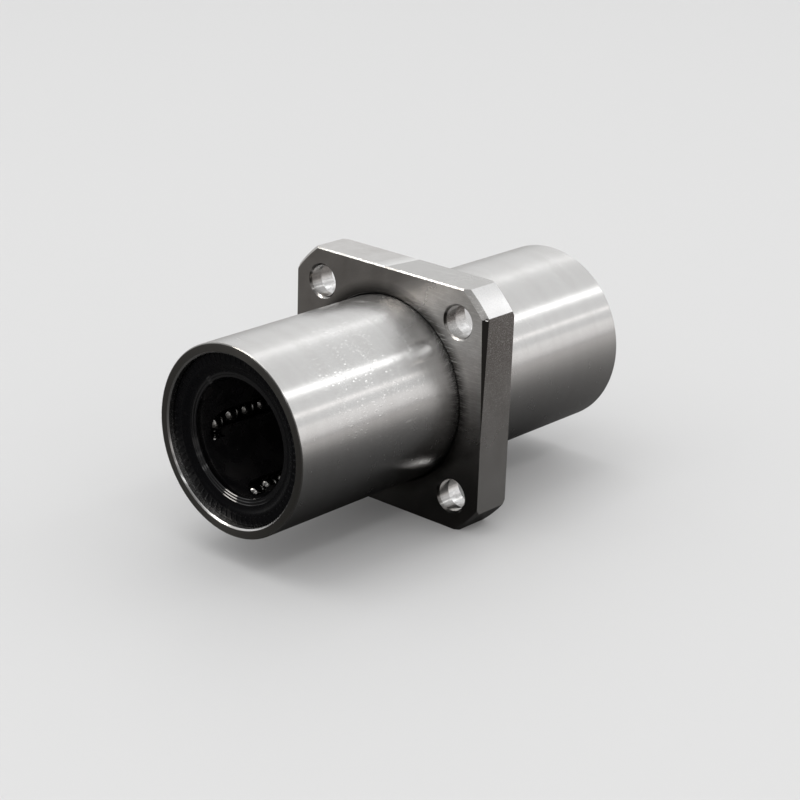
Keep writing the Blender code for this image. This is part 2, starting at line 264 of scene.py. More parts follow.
class Shader:
    """A small helper that adds and links shader nodes of one material."""

    def __init__(self, name, colour, roughness, metallic):
        self.material = bpy.data.materials.new(name)
        self.material.use_nodes = True
        self.tree = self.material.node_tree
        self.surface = self.tree.nodes["Principled BSDF"]
        self.surface.inputs["Base Color"].default_value = (*colour, 1.0)
        self.surface.inputs["Roughness"].default_value = roughness
        self.surface.inputs["Metallic"].default_value = metallic
        coordinates = self.add("ShaderNodeTexCoord")
        self.place = coordinates.outputs["Object"]
        self.facing = coordinates.outputs["Normal"]

    def add(self, kind, **settings):
        node = self.tree.nodes.new(kind)
        for name, value in settings.items():
            setattr(node, name, value)
        return node

    def link(self, source, target):
        self.tree.links.new(source, target)

    def put(self, value, target):
        """Links a socket, or sets a plain value."""
        if isinstance(value, bpy.types.NodeSocket):
            self.link(value, target)
        else:
            target.default_value = value

    def scaled(self, scale, rotation=(0.0, 0.0, 0.0)):
        node = self.add("ShaderNodeMapping")
        self.link(self.place, node.inputs["Vector"])
        node.inputs["Scale"].default_value = scale
        node.inputs["Rotation"].default_value = rotation
        return node.outputs["Vector"]

    def noise(self, vector, scale, detail=4.0, rough=0.5, distortion=0.0):
        node = self.add("ShaderNodeTexNoise")
        self.link(vector, node.inputs["Vector"])
        node.inputs["Scale"].default_value = scale
        node.inputs["Detail"].default_value = detail
        node.inputs["Roughness"].default_value = rough
        node.inputs["Distortion"].default_value = distortion
        return node.outputs["Fac"]

    def cells(self, vector, scale):
        """The distance to the nearest of many scattered points."""
        node = self.add("ShaderNodeTexVoronoi", feature="F1")
        self.link(vector, node.inputs["Vector"])
        node.inputs["Scale"].default_value = scale
        node.inputs["Randomness"].default_value = 1.0
        return node.outputs["Distance"]

    def math(self, operation, first, second=0.0):
        node = self.add("ShaderNodeMath", operation=operation)
        self.put(first, node.inputs[0])
        self.put(second, node.inputs[1])
        return node.outputs[0]

    def times(self, first, *others):
        """The product of masks."""
        for other in others:
            first = self.math("MULTIPLY", first, other)
        return first

    def most(self, first, *others):
        """The highest of several masks."""
        for other in others:
            first = self.math("MAXIMUM", first, other)
        return first

    def flip(self, mask):
        """1 where a mask is 0, and 0 where it is 1."""
        return self.math("SUBTRACT", 1.0, mask)

    def coordinates(self):
        """The x, y and z sockets of the place."""
        split = self.add("ShaderNodeSeparateXYZ")
        self.link(self.place, split.inputs[0])
        return list(split.outputs)

    def range(self, value, low, high, to_low=0.0, to_high=1.0):
        node = self.add("ShaderNodeMapRange", clamp=True)
        self.link(value, node.inputs["Value"])
        node.inputs["From Min"].default_value = low
        node.inputs["From Max"].default_value = high
        node.inputs["To Min"].default_value = to_low
        node.inputs["To Max"].default_value = to_high
        return node.outputs["Result"]

    def mix(self, amount, first, second):
        node = self.add("ShaderNodeMix", data_type="RGBA")
        self.put(amount, node.inputs["Factor"])
        colours = [s for s in node.inputs if s.type == "RGBA"]
        self.put(first, colours[0])
        self.put(second, colours[1])
        return next(s for s in node.outputs if s.type == "RGBA")

    def bump(self, height, strength, distance_mm, normal=None):
        node = self.add("ShaderNodeBump")
        node.inputs["Strength"].default_value = strength
        node.inputs["Distance"].default_value = distance_mm * MM
        self.link(height, node.inputs["Height"])
        if normal is not None:
            self.link(normal, node.inputs["Normal"])
        return node.outputs["Normal"]

    def distance(self, across, up):
        """The length of a vector of two sockets."""
        total = self.math("ADD", self.times(across, across), self.times(up, up))
        return self.math("SQRT", total)

    def radius_about_bore(self):
        _, y, z = self.coordinates()
        return self.distance(y, z)

    def near(self, place_mm, inner_mm, outer_mm):
        """1 close to a place and 0 beyond the outer distance."""
        away = self.add("ShaderNodeVectorMath", operation="DISTANCE")
        self.link(self.place, away.inputs[0])
        away.inputs[1].default_value = Vector(place_mm) * MM
        return self.range(away.outputs["Value"], inner_mm * MM, outer_mm * MM, 1.0, 0.0)

    def faces(self, direction, low, high):
        """1 where the surface faces a direction, 0 where the cosine to it is below low."""
        dot = self.add("ShaderNodeVectorMath", operation="DOT_PRODUCT")
        self.link(self.facing, dot.inputs[0])
        dot.inputs[1].default_value = Vector(direction).normalized()
        return self.range(dot.outputs["Value"], low, high)

    def faces_along_bore(self, low=0.90, high=0.97):
        """1 on faces square to the bore and 0 on the others."""
        split = self.add("ShaderNodeSeparateXYZ")
        self.link(self.facing, split.inputs[0])
        return self.range(self.math("ABSOLUTE", split.outputs[0]), low, high)

    def finish(self, colour, roughness=None, normal=None):
        self.link(colour, self.surface.inputs["Base Color"])
        if roughness is not None:
            self.link(roughness, self.surface.inputs["Roughness"])
        if normal is not None:
            self.link(normal, self.surface.inputs["Normal"])
        return self.material


# ---------------------------------------------------------------- the tube's material

# Where hands and oil have left the tube's ground skin least clean, with raised oil drops and painted
# glints, in millimetres, and how far from there it is fully so and no longer so.
HANDLED_PLACE = (-20.0, -13.3, 8.9)
HANDLED_REACH = (5.0, 17.0)
HAIR_TURN = (0.0, math.radians(14.0), math.radians(9.0))
# Radii between which the end face gives way to the outer edge, which is painted dark: painted shade
# that dims its highlight.
OUTER_EDGE_RANGE = (15.62 * MM, 15.74 * MM)

STEEL_DARK = (0.615, 0.61, 0.603, 1.0)
STEEL_LIGHT = (0.642, 0.639, 0.634, 1.0)
STEEL_GRAIN = (0.50, 0.49, 0.48, 1.0)
STEEL_PIT = (0.14, 0.13, 0.12, 1.0)
# Painted highlight: the near-white tone of the glints.
PAINTED_GLINT_TONE = (0.97, 0.97, 0.96, 1.0)
END_FACE = (0.17, 0.165, 0.155, 1.0)
# Painted shade on the outer edge.
OUTER_EDGE_SHADE = (0.20, 0.195, 0.185, 1.0)


def oil_drops_and_painted_glints(s, smear):
    """(drops, glints) on the handled part: the raised drops of oil, and painted highlights,
    near-white glints on drop rims, hairs, grit and curls.
    """
    handled = s.near(HANDLED_PLACE, *HANDLED_REACH)
    cells = s.cells(s.scaled((0.6, 1.0, 1.0)), scale=1500.0)
    drops = s.times(s.range(cells, 0.10, 0.28, 1.0, 0.0), s.range(smear, 0.47, 0.53), handled)
    drop_rim_glints = s.times(s.range(cells, 0.08, 0.18), drops)
    grit_glints = s.noise(s.scaled((0.7, 1.0, 1.0)), scale=4200.0, detail=3.0, rough=0.7, distortion=1.2)
    grit_glints = s.times(s.range(grit_glints, 0.64, 0.69), handled)
    curl_glints = s.noise(s.place, scale=1500.0, detail=1.0, rough=0.4, distortion=2.0)
    curl_glints = s.math("ABSOLUTE", s.math("SUBTRACT", curl_glints, 0.5))
    curl_glints = s.times(s.range(curl_glints, 0.004, 0.012, 1.0, 0.0), s.range(smear, 0.53, 0.56), handled)
    hair_glints = s.noise(s.scaled((0.10, 1.0, 0.35), HAIR_TURN), scale=2600.0, detail=2.0, rough=0.5)
    hair_glints = s.times(s.range(hair_glints, 0.72, 0.76), handled)
    return drops, s.most(drop_rim_glints, hair_glints, grit_glints, curl_glints)


def ground_steel():
    """Ground and lapped bearing steel: fine lines round the tube, oil, smears and pits, with painted
    glints and painted shade on the outer edge.
    """
    s = Shader("ground_steel", (0.63, 0.625, 0.62), 0.15, 1.0)
    s.surface.inputs["Anisotropic"].default_value = 0.85
    s.surface.inputs["Anisotropic Rotation"].default_value = 0.25
    tangent = s.add("ShaderNodeTangent", direction_type="RADIAL", axis="X")
    s.link(tangent.outputs["Tangent"], s.surface.inputs["Tangent"])

    lines = s.noise(s.scaled((1.0, 0.02, 0.02)), scale=5600.0, detail=3.0, rough=0.65)
    bands = s.noise(s.scaled((1.0, 0.05, 0.05)), scale=420.0, detail=3.0, rough=0.55)
    smear = s.noise(s.place, scale=420.0, detail=5.0, rough=0.62, distortion=0.4)
    grain = s.noise(s.place, scale=5200.0, detail=2.0, rough=0.6)
    pits = s.range(s.cells(s.place, scale=560.0), 0.03, 0.06, 1.0, 0.0)
    pits = s.times(pits, s.range(smear, 0.56, 0.60))
    drops, painted_glints = oil_drops_and_painted_glints(s, smear)
    end_face = s.faces_along_bore()
    outer_edge_shade = s.range(s.radius_about_bore(), *OUTER_EDGE_RANGE, 0.0, 0.8)
    outer_edge_shade = s.times(outer_edge_shade, s.faces_along_bore(0.30, 0.60))

    tone = s.mix(s.range(bands, 0.35, 0.65), STEEL_DARK, STEEL_LIGHT)
    tone = s.mix(s.range(grain, 0.40, 0.70, 0.0, 0.30), tone, STEEL_GRAIN)
    tone = s.mix(s.times(pits, 0.6), tone, STEEL_PIT)
    # Painted highlight: near-white glints on the handled part.
    tone = s.mix(s.times(painted_glints, 0.9), tone, PAINTED_GLINT_TONE)
    tone = s.mix(end_face, tone, END_FACE)
    # Painted shade: the outer edge is darkened to dim its highlight.
    tone = s.mix(outer_edge_shade, tone, OUTER_EDGE_SHADE)

    rough = s.range(lines, 0.3, 0.7, 0.18, 0.25)
    rough = s.math("ADD", rough, s.range(smear, 0.45, 0.8, 0.0, 0.06))
    rough = s.math("ADD", rough, s.times(end_face, 0.10))
    normal = s.bump(lines, strength=0.45, distance_mm=0.006)
    normal = s.bump(smear, strength=0.12, distance_mm=0.012, normal=normal)
    normal = s.bump(drops, strength=0.8, distance_mm=0.02, normal=normal)
    normal = s.bump(pits, strength=-0.6, distance_mm=0.03, normal=normal)
    return s.finish(tone, rough, normal)


# ---------------------------------------------------------------- the flange's material

# The side of the flange's front that is rubbed and scratched.
WORN_PLACE = (-3.6, -19.5, 10.0)
WORN_REACH = (8.0, 20.0)
# Radii: the dark seam round the tube, and a ring of painted shade on the front round it, standing for
# the tube's dark reflection.
SEAM_RANGE = (16.45 * MM, 16.65 * MM)
RING_SHADE_RANGE = (16.9 * MM, 18.6 * MM)
# Heights between which painted shade darkens the front's lower part,
# and the -Y side gets painted light below and painted shade above.
LOW_FRONT_Z = (-14.0 * MM, -3.0 * MM)
SIDE_BRIGHT_Z = (-18.0 * MM, 0.0)
SIDE_DARK_Z = (-12.0 * MM, 12.0 * MM)
# The step on the top, along Y, between its darker part and the rest, and the band of painted
# reflection beside it.
TOP_STEP = (0.2 * MM, 0.4 * MM)
TOP_BAND_REACH = (0.8 * MM, 3.5 * MM)
TOP_STEP_SLANT = 0.15
# Across a bolt hole: its drilled front stretch, and its walls, with the counterbore, all darkened
# with painted shade.
DRILLED_REACH = ((BOLT_HOLE_RADIUS + 0.1) * MM, (BOLT_HOLE_RADIUS + 0.35) * MM)
DRILLED_X = (-1.2 * MM, -0.9 * MM)
WALL_REACH = (4.9 * MM, 5.1 * MM)
# Scratches, as (stretch, turn).
LONG_MARKS = ((0.6, 0.035, 1.0), (math.radians(38.0), 0.0, 0.0))
SHORT_MARKS = ((0.6, 0.10, 1.0), (math.radians(-24.0), 0.0, 0.0))
COMBED_MARKS = ((1.0, 0.10, 1.0), (math.radians(14.0), 0.0, 0.0))

CLEAN_TONES = ((0.52, 0.505, 0.49, 1.0), (0.61, 0.60, 0.59, 1.0))
FILM_TONES = ((0.46, 0.437, 0.415, 1.0), (0.54, 0.517, 0.493, 1.0))
FILED_TONES = ((0.34, 0.33, 0.32, 1.0), (0.58, 0.58, 0.57, 1.0))
# Painted shade: the dark ring on the front round the tube.
RING_SHADE_TONE = (0.03, 0.028, 0.026, 1.0)
# Painted shade for the front's lower part.
LOW_FRONT_SHADE = (0.16, 0.15, 0.14, 1.0)
# Painted light low on the -Y side, and painted shade high on it.
SIDE_PAINTED_LIGHT = (0.93, 0.91, 0.88, 1.0)
SIDE_PAINTED_SHADE = (0.20, 0.182, 0.172, 1.0)
ROUND_CORNER = (0.70, 0.70, 0.70, 1.0)
GROUND_CORNER = (0.40, 0.39, 0.38, 1.0)
# Painted shade inside the bolt holes.
HOLE_WALL_SHADE = (0.16, 0.15, 0.14, 1.0)
SEAM = (0.02, 0.019, 0.018, 1.0)
# The top's darker part, and the bright band of painted reflection beside it.
TOP_DARKER_PART = (0.50, 0.495, 0.485, 1.0)
TOP_REFLECTION_BAND = (0.80, 0.80, 0.79, 1.0)
FLANGE_GRAIN = (0.30, 0.285, 0.27, 1.0)
SCRATCH = (0.78, 0.77, 0.75, 1.0)
BEVEL_TONE = (0.06, 0.056, 0.052, 1.0)


def bolt_hole_walls(s):
    """1 on the drilled front stretch of the bolt holes, and blotted on the rest of their walls: where
    painted shade darkens the holes.
    """
    x, y, z = s.coordinates()
    across, up = [s.math("SUBTRACT", s.math("ABSOLUTE", v), BOLT_OFFSET * MM) for v in (y, z)]
    away = s.distance(across, up)
    drilled = s.range(away, *DRILLED_REACH, 1.0, 0.0)
    drilled = s.times(drilled, s.range(x, *DRILLED_X, 1.0, 0.0))
    walls = s.times(s.range(away, *WALL_REACH, 1.0, 0.0), s.flip(s.faces_along_bore()))
    blots = s.noise(s.scaled((0.35, 1.0, 1.0)), scale=900.0, detail=4.0, rough=0.65, distortion=0.8)
    return s.most(drilled, s.times(walls, s.range(blots, 0.38, 0.64, 0.0, 0.85)))


def flat_tones(s, mottle, worn):
    """The front, with its oil film, a ring of painted shade and painted shade low down, and the -Y
    side with painted light below and painted shade above.
    """
    z = s.coordinates()[2]
    front = s.faces_along_bore()
    side = s.faces((0.0, -1.0, 0.0), 0.95, 0.99)
    clean = s.mix(s.range(mottle, 0.35, 0.68), *CLEAN_TONES)
    film = s.mix(s.range(mottle, 0.35, 0.65), *FILM_TONES)
    ring_shade = s.flip(s.range(s.radius_about_bore(), *RING_SHADE_RANGE, 0.15, 1.0))
    tone = s.mix(s.times(front, s.flip(worn)), clean, film)
    # Painted shade ring round the tube.
    tone = s.mix(s.times(front, ring_shade), tone, RING_SHADE_TONE)
    # Painted shade: darker towards the bottom of the front.
    tone = s.mix(s.times(front, s.range(z, *LOW_FRONT_Z, 0.5, 0.0)), tone, LOW_FRONT_SHADE)
    # Painted light below and painted shade above on the -Y side.
    tone = s.mix(s.times(side, s.range(z, *SIDE_BRIGHT_Z, 1.0, 0.0)), tone, SIDE_PAINTED_LIGHT)
    return s.mix(s.times(side, s.range(z, *SIDE_DARK_Z, 0.0, 0.9)), tone, SIDE_PAINTED_SHADE)


def edge_tones(s, tone):
    """The round corner, the filed top edge and the ground corner."""
    tone = s.mix(s.faces((0.0, -1.0, 1.0), 0.9, 0.95), tone, ROUND_CORNER)
    filed = s.noise(s.place, scale=1300.0, detail=3.0, rough=0.6)
    filed = s.mix(s.range(filed, 0.42, 0.58), *FILED_TONES)
    tone = s.mix(s.faces((-1.0, 0.0, 1.0), 0.9, 0.95), tone, filed)
    return s.mix(s.faces((-1.0, -0.7, 0.7), 0.95, 0.98), tone, GROUND_CORNER)


def top_tones(s, tone):
    """The top: darker past a slanted step along Y, with a bright band beside the step that is a
    painted reflection.
    """
    x, y, _ = s.coordinates()
    top = s.faces((0.0, 0.0, 1.0), 0.95, 0.99)
    slanted = s.math("ADD", y, s.times(x, TOP_STEP_SLANT))
    tone = s.mix(s.times(top, s.range(slanted, *TOP_STEP, 1.0, 0.0)), tone, TOP_DARKER_PART)
    reflection_band = s.times(s.range(slanted, *TOP_STEP), s.range(slanted, *TOP_BAND_REACH, 1.0, 0.0))
    # Painted reflection: a bright band on the top beside the step.
    return s.mix(s.times(top, reflection_band), tone, TOP_REFLECTION_BAND)


def milled_steel():
    """The flange: a ground front with fine rings, milled sides, scratches and an oily film."""
    s = Shader("milled_steel", (0.52, 0.51, 0.50), 0.28, 1.0)
    ring_vector = s.add("ShaderNodeCombineXYZ")
    s.link(s.radius_about_bore(), ring_vector.inputs[0])
    rings = s.noise(ring_vector.outputs[0], scale=5200.0, detail=3.0, rough=0.6)
    across = s.noise(s.scaled((1.0, 0.03, 0.03)), scale=3600.0, detail=3.0, rough=0.6)
    long_marks = s.noise(s.scaled(*LONG_MARKS), scale=3000.0, detail=4.0, rough=0.7)
    short_marks = s.noise(s.scaled(*SHORT_MARKS), scale=4200.0, detail=4.0, rough=0.7)
    combed = s.noise(s.scaled(*COMBED_MARKS), scale=4800.0, detail=4.0, rough=0.7)
    mottle = s.noise(s.place, scale=260.0, detail=5.0, rough=0.62, distortion=0.3)
    grain = s.noise(s.place, scale=4200.0, detail=3.0, rough=0.6)
    worn = s.near(WORN_PLACE, *WORN_REACH)
    long_scratches = s.range(long_marks, 0.60, 0.68, 0.0, 0.6)
    scratches = s.most(long_scratches, s.range(combed, 0.50, 0.68, 0.0, 0.55))

    tone = flat_tones(s, mottle, worn)
    tone = edge_tones(s, tone)
    # Painted shade: the bolt hole walls are darkened.
    tone = s.mix(s.times(bolt_hole_walls(s), 0.55), tone, HOLE_WALL_SHADE)
    tone = s.mix(s.range(s.radius_about_bore(), *SEAM_RANGE, 0.92, 0.0), tone, SEAM)
    tone = top_tones(s, tone)
    tone = s.mix(s.range(grain, 0.42, 0.70, 0.0, 0.18), tone, FLANGE_GRAIN)
    tone = s.mix(s.times(scratches, s.math("ADD", worn, 0.12)), tone, SCRATCH)
    tone = s.mix(s.faces((-1.0, -1.0, 0.0), 0.95, 0.98), tone, BEVEL_TONE)

    rough = s.math("ADD", s.range(mottle, 0.3, 0.7, 0.17, 0.23), s.times(worn, 0.15))
    normal = s.bump(rings, strength=0.15, distance_mm=0.008)
    normal = s.bump(across, strength=0.10, distance_mm=0.008, normal=normal)
    normal = s.bump(long_marks, strength=0.20, distance_mm=0.010, normal=normal)
    normal = s.bump(short_marks, strength=0.15, distance_mm=0.008, normal=normal)
    return s.finish(tone, rough, normal)


# ---------------------------------------------------------------- the other materials

RESIN_TONES = ((0.004, 0.004, 0.0045, 1.0), (0.009, 0.0085, 0.0085, 1.0))
RUBBER_TONES = ((0.0025, 0.0025, 0.003, 1.0), (0.010, 0.009, 0.0085, 1.0))
SPRING_TONES = ((0.24, 0.24, 0.26, 1.0), (0.36, 0.35, 0.35, 1.0))
# Painted shade: the balls are darkened for their place deep in the bore, over their oil film.
SHADED_BALL_TONES = ((0.20, 0.195, 0.185, 1.0), (0.30, 0.295, 0.29, 1.0))


def retainer_resin():
    """Black moulded resin, oily, with a faint mould texture."""
    s = Shader("retainer_resin", (0.006, 0.006, 0.007), 0.3, 0.0)
    s.surface.inputs["Specular IOR Level"].default_value = 0.4
    grain = s.noise(s.place, scale=1800.0, detail=4.0, rough=0.6)
    film = s.noise(s.place, scale=300.0, detail=3.0, rough=0.5)
    tone = s.mix(s.range(film, 0.35, 0.65), *RESIN_TONES)
    normal = s.bump(grain, strength=0.2, distance_mm=0.01)
    return s.finish(tone, s.range(film, 0.35, 0.65, 0.16, 0.36), normal)


def seal_rubber(name, gloss, roughness):
    """Black nitrile rubber with a moulded skin, dusty in places."""
    s = Shader(name, (0.003, 0.003, 0.0035), sum(roughness) / 2, 0.0)
    s.surface.inputs["Specular IOR Level"].default_value = gloss
    grain = s.noise(s.place, scale=2600.0, detail=4.0, rough=0.65)
    dust = s.noise(s.place, scale=900.0, detail=5.0, rough=0.6)
    tone = s.mix(s.range(dust, 0.6, 0.8), *RUBBER_TONES)
    normal = s.bump(grain, strength=0.15, distance_mm=0.008)
    return s.finish(tone, s.range(dust, 0.3, 0.7, *roughness), normal)


def spring_steel():
    """Dark tempered ring, ground on its flat faces."""
    s = Shader("spring_steel", (0.30, 0.30, 0.31), 0.35, 1.0)
    lines = s.noise(s.scaled((1.0, 1.0, 0.05)), scale=3000.0, detail=3.0, rough=0.6)
    tone = s.mix(s.range(lines, 0.35, 0.7), *SPRING_TONES)
    normal = s.bump(lines, strength=0.15, distance_mm=0.01)
    return s.finish(tone, s.range(lines, 0.3, 0.7, 0.28, 0.4), normal)


def ball_steel():
    """Lapped ball steel: near mirror, with a thin uneven oil film, and painted dark as shade deep in
    the bore.
    """
    s = Shader("ball_steel", (0.26, 0.26, 0.25), 0.05, 1.0)
    film = s.noise(s.place, scale=700.0, detail=3.0, rough=0.5)
    # Painted shade: dark tones, varied by the oil film.
    tone = s.mix(s.range(film, 0.35, 0.7), *SHADED_BALL_TONES)
    normal = s.bump(film, strength=0.05, distance_mm=0.01)
    return s.finish(tone, s.range(film, 0.35, 0.7, 0.03, 0.09), normal)


# ---------------------------------------------------------------- outer cylinder

CAGE_CENTRE = (RETAINER_START + RETAINER_END) / 2


def row_place(side, kind, number):
    """A ball row's centre, in millimetres: its box is symmetric about it."""
    low, high = box_mm(f"{side}_{kind}_{number}")
    return Vector([(a + b) / 2 for a, b in zip(low, high)])


def row_angle(number):
    place = row_place("left", "load_row", number)
    return math.degrees(math.atan2(place.z, place.y))


def turn_frame(side, number):
    """(centre, normal, radius) of a circuit's end turn, in millimetres."""
    hinge = joint(f"{side}_end_turn_hinge_{number}")
    centre = Vector(hinge["pos_m"]) / MM
    normal = Vector(hinge["axis"]).normalized()
    rows = row_place(side, "return_row", number) - row_place(side, "load_row", number)
    return centre, normal, rows.length / 2


TURN_CENTRE, _, TURN_RADIUS = turn_frame("right", 1)
ROW_LENGTH = 2 * (TURN_CENTRE.x - CAGE_CENTRE)
BALL_PITCH = ROW_LENGTH / ROW_BALLS
LAND_RUN_OUT = 0.3
LAND_HALF_WIDTH_DEG = 9.0
LAND_ROOT = 15.0

OUTER_CHAMFER = 0.18
INNER_CHAMFER = 0.22
CHAMFER_EDGE = 0.08


def land_range(side):
    """Where a side's raceway lands start and end along the bore."""
    half = ROW_LENGTH / 2 + LAND_RUN_OUT
    centre = SIDES[side] * CAGE_CENTRE
    return centre - half, centre + half


def cylinder_half_profile():
    """The tube's section from the outside, over the +X end, to the retaining ring's groove."""
    groove_outer = RING_END + GROOVE_PLAY
    groove_inner = RING_START - GROOVE_PLAY
    return [
        (BODY_END - OUTER_CHAMFER - CHAMFER_EDGE, BODY_RADIUS),
        (BODY_END - OUTER_CHAMFER + 0.02, BODY_RADIUS - 0.05),
        (BODY_END - 0.05, BODY_RADIUS - OUTER_CHAMFER + 0.02),
        (BODY_END, BODY_RADIUS - OUTER_CHAMFER - CHAMFER_EDGE),
        (BODY_END, SEAT_RADIUS + INNER_CHAMFER + CHAMFER_EDGE / 2),
        (BODY_END - 0.03, SEAT_RADIUS + INNER_CHAMFER),
        (BODY_END - INNER_CHAMFER, SEAT_RADIUS + 0.03),
        (BODY_END - INNER_CHAMFER - CHAMFER_EDGE / 2, SEAT_RADIUS),
        (groove_outer, SEAT_RADIUS),
        (groove_outer, GROOVE_RADIUS),
        (groove_inner, GROOVE_RADIUS),
        (groove_inner, SEAT_RADIUS),
    ]


def make_outer_cylinder(material):
    half = cylinder_half_profile()
    profile = half + [(-x, radius) for x, radius in reversed(half)]
    tube = add_object("outer_cylinder_ground", turned_mesh("tube", profile, CYLINDER_STEPS))
    radii = (LAND_RADIUS, LAND_ROOT)
    for side in SIDES:
        for number in range(1, CIRCUITS + 1):
            angle = row_angle(number)
            land = sector_mesh("land", land_range(side), radii, angle, LAND_HALF_WIDTH_DEG)
            boolean(tube, land, "UNION")
    apply_modifiers(tube)
    shade(tube, 30.0)
    keep_flats_flat(tube)
    finish_piece(tube, material, "ground_steel", ROOT, "outer_cylinder")


# ---------------------------------------------------------------- square flange

CORNERS = ((1, 1), (-1, 1), (-1, -1), (1, -1))
FRONT_CHAMFER = 0.5
BACK_CHAMFER = 0.5
MOUTH_CHAMFER = 0.36
CORNER_GRIND = 0.80
CORNER_GRIND_DEG = 135.0
TOP_DEBURR = 0.24
HAND_BEVEL = 0.75
HAND_BEVEL_Z = (-4.0, 15.0)
FLANGE_BORE_CHAMFER = 0.35
EDGE_BREAK = 0.09
EDGE_BREAK_DEG = 25.0
# The nick: degrees past the middle of the ground corner, depths behind the front and inside
# the corner, and radius.
NICK_DEG = 6.0
NICK_IN = (0.45, 0.2)
NICK_RADIUS = 0.33


def bolt_hole_mesh(centre):
    """A through hole with a chamfered front mouth and a counterbore from the back."""
    front = -FLANGE_HALF
    floor = front + BOLT_HOLE_DEPTH
    beyond = 1.0  # the cutter reaches this far past the flange
    stations = (
        (front - beyond, BOLT_HOLE_RADIUS + MOUTH_CHAMFER + beyond),
        (front + MOUTH_CHAMFER, BOLT_HOLE_RADIUS),
        (floor, BOLT_HOLE_RADIUS),
        (floor, COUNTERBORE_RADIUS),
        (FLANGE_HALF + beyond, COUNTERBORE_RADIUS),
    )
    rings = [circle(x, radius, HOLE_STEPS, centre) for x, radius in stations]
    return mesh_from_rings("bolt_hole", rings)


def corner_grind_mesh():
    """A ring sector whose section is the triangle that the larger corner chamfer takes away."""
    beyond = 1.0  # the cutter reaches this far past the flange
    reach = CORNER_GRIND + beyond
    section = (
        (-FLANGE_HALF - beyond, CORNER_RADIUS - reach),
        (-FLANGE_HALF - beyond, CORNER_RADIUS + beyond),
        (-FLANGE_HALF + reach, CORNER_RADIUS + beyond),
    )
    steps = 12
    half_width_deg = 14.0
    rings = []
    for i in range(steps + 1):
        angle = CORNER_GRIND_DEG + half_width_deg * (2 * i / steps - 1)
        rings.append([polar(x, radius, angle) for x, radius in section])
    return mesh_from_rings("corner_grind", rings)


def nick_mesh():
    """A small dent at the lower end of the ground corner."""
    inward, down = NICK_IN
    place = polar(-FLANGE_HALF + inward, CORNER_RADIUS - down, CORNER_GRIND_DEG + NICK_DEG)
    return spheres_mesh("nick", [Vector(place)], NICK_RADIUS, 3)


def deburr_flange(flange):
    """A filed edge along the top, and a hand bevel that runs out down the -Y side."""
    plane_cut(flange, (-FLANGE_HALF + TOP_DEBURR, 0.0, FLANGE_SIDE), (-1.0, 0.0, 1.0))
    bottom, top = HAND_BEVEL_Z
    slope = HAND_BEVEL / (top - bottom)
    plane_cut(flange, (-FLANGE_HALF, -FLANGE_SIDE, bottom), (-1.0, -1.0, slope))


def make_flange(material):
    disc = [
        (-FLANGE_HALF, CORNER_RADIUS - FRONT_CHAMFER),
        (-FLANGE_HALF, FLANGE_BORE + FLANGE_BORE_CHAMFER),
        (-FLANGE_HALF + FLANGE_BORE_CHAMFER, FLANGE_BORE),
        (FLANGE_HALF - FLANGE_BORE_CHAMFER, FLANGE_BORE),
        (FLANGE_HALF, FLANGE_BORE + FLANGE_BORE_CHAMFER),
        (FLANGE_HALF, CORNER_RADIUS - BACK_CHAMFER),
        (FLANGE_HALF - BACK_CHAMFER, CORNER_RADIUS),
        (-FLANGE_HALF + FRONT_CHAMFER, CORNER_RADIUS),
    ]
    flange = add_object("square_flange_milled", turned_mesh("flange", disc, CYLINDER_STEPS))
    square = []
    for x in (-2 * FLANGE_HALF, 2 * FLANGE_HALF):
        square.append([(x, y * FLANGE_SIDE, z * FLANGE_SIDE) for y, z in CORNERS])
    boolean(flange, mesh_from_rings("square", square), "INTERSECT")
    for y, z in CORNERS:
        boolean(flange, bolt_hole_mesh((y * BOLT_OFFSET, z * BOLT_OFFSET)), "DIFFERENCE")
    boolean(flange, corner_grind_mesh(), "DIFFERENCE")
    apply_modifiers(flange)
    deburr_flange(flange)
    bevel(flange, EDGE_BREAK, EDGE_BREAK_DEG)
    apply_modifiers(flange)
    boolean(flange, nick_mesh(), "DIFFERENCE")
    apply_modifiers(flange)
    shade(flange, 15.0)
    keep_flats_flat(flange)
    finish_piece(flange, material, "milled_steel", ROOT, "square_flange")


# ---------------------------------------------------------------- ball retainers

GUIDE_HALF_WIDTH = 1.72
WINDOW_HALF_WIDTH = 1.45
WINDOW_STEP = -0.84
GUIDE_FLOOR = -1.69
GUIDE_TOP = 4.0
TURN_STEPS = 16
RETAINER_EDGE = 0.4
RETAINER_BREAK = 0.12
RETAINER_CHAMFER = 0.15
NOTCH_PLAY = 0.3
NOTCH_DEPTH = 0.2


def guide_mesh():
    """The racetrack that the balls run in, with the narrower window of the loaded row's side."""
    section = (
        (-WINDOW_HALF_WIDTH, GUIDE_FLOOR),
        (WINDOW_HALF_WIDTH, GUIDE_FLOOR),
        (WINDOW_HALF_WIDTH, WINDOW_STEP),
        (GUIDE_HALF_WIDTH, WINDOW_STEP),
        (GUIDE_HALF_WIDTH, GUIDE_TOP),
        (-GUIDE_HALF_WIDTH, GUIDE_TOP),
        (-GUIDE_HALF_WIDTH, WINDOW_STEP),
        (-WINDOW_HALF_WIDTH, WINDOW_STEP),
    )
    rings = []
    for end in (1, -1):
        for i in range(TURN_STEPS + 1):
            angle = math.pi * (i / TURN_STEPS - 0.5) + (0 if end == 1 else math.pi)
            out = (math.cos(angle), math.sin(angle))
            x = end * ROW_LENGTH / 2 + TURN_RADIUS * out[0]
            y = TURN_RADIUS * out[1]
            rings.append([(x + out[0] * across, y + out[1] * across, up) for across, up in section])
    return mesh_from_rings("guide", rings, closed=True)


